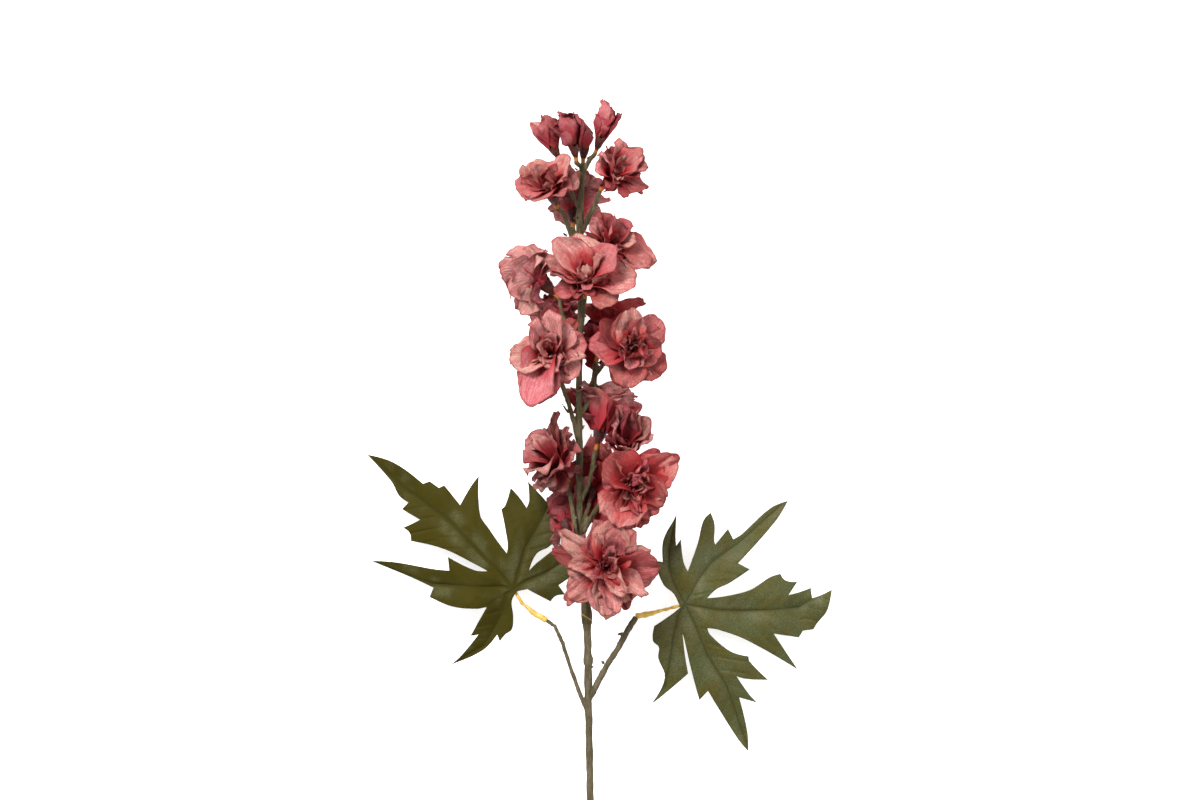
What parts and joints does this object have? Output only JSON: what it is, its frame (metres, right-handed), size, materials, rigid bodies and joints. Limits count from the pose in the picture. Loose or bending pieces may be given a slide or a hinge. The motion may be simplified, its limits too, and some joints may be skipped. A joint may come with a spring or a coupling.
{
  "type": "artificial delphinium flower spray",
  "caption": "Artificial delphinium spike with dusty rose double blossoms, buds at the tip and two lobed olive leaves, lying on a surface.",
  "frame": {"origin": "middle of the outline, on the surface it lies on", "axes": "+Y along the spike from the cut end to the tip, +Z away from the surface, on the side the picture shows, +X to the right of the picture"},
  "size_m": [0.35, 0.7002, 0.0757],
  "materials": {
    "upper_stem": "moulded plastic stem, olive grey green with a dull mottled paint",
    "lower_stem": "plastic-covered stem, brown grey green with fine lengthwise ribs",
    "leaf": "printed polyester leaf cloth, dark olive with pressed veins",
    "leaf_pin": "unpainted yellow plastic",
    "cup": "dark maroon brush-painted plastic over an orange-yellow peg",
    "outer_petals": "crinkled heat-formed polyester, dusty rose to peach at the edges",
    "inner_petals": "crinkled heat-formed polyester, wine red at the base to salmon"
  },
  "bodies": {
    "root": {"stem_upper": "upper_stem", "stem_lower": "lower_stem", "leaf_left": "leaf", "leaf_right": "leaf", "leaf_pin_left": "leaf_pin", "leaf_pin_right": "leaf_pin", "cup_01": "cup", "outer_petals_01": "outer_petals", "cup_02": "cup", "outer_petals_02": "outer_petals", "cup_03": "cup", "outer_petals_03": "outer_petals", "cup_04": "cup", "outer_petals_04": "outer_petals", "cup_05": "cup", "outer_petals_05": "outer_petals", "inner_petals_05": "inner_petals", "cup_06": "cup", "outer_petals_06": "outer_petals", "inner_petals_06": "inner_petals", "cup_07": "cup", "outer_petals_07": "outer_petals", "cup_08": "cup", "outer_petals_08": "outer_petals", "inner_petals_08": "inner_petals", "cup_09": "cup", "outer_petals_09": "outer_petals", "inner_petals_09": "inner_petals", "cup_10": "cup", "outer_petals_10": "outer_petals", "inner_petals_10": "inner_petals", "cup_11": "cup", "outer_petals_11": "outer_petals", "cup_12": "cup", "outer_petals_12": "outer_petals", "inner_petals_12": "inner_petals", "cup_13": "cup", "outer_petals_13": "outer_petals", "inner_petals_13": "inner_petals", "cup_14": "cup", "outer_petals_14": "outer_petals", "cup_15": "cup", "outer_petals_15": "outer_petals", "cup_16": "cup", "outer_petals_16": "outer_petals", "inner_petals_16": "inner_petals", "cup_17": "cup", "outer_petals_17": "outer_petals", "inner_petals_17": "inner_petals", "cup_18": "cup", "outer_petals_18": "outer_petals", "inner_petals_18": "inner_petals", "cup_19": "cup", "outer_petals_19": "outer_petals", "cup_20": "cup", "outer_petals_20": "outer_petals", "inner_petals_20": "inner_petals", "cup_21": "cup", "outer_petals_21": "outer_petals"}
  },
  "joints": []
}
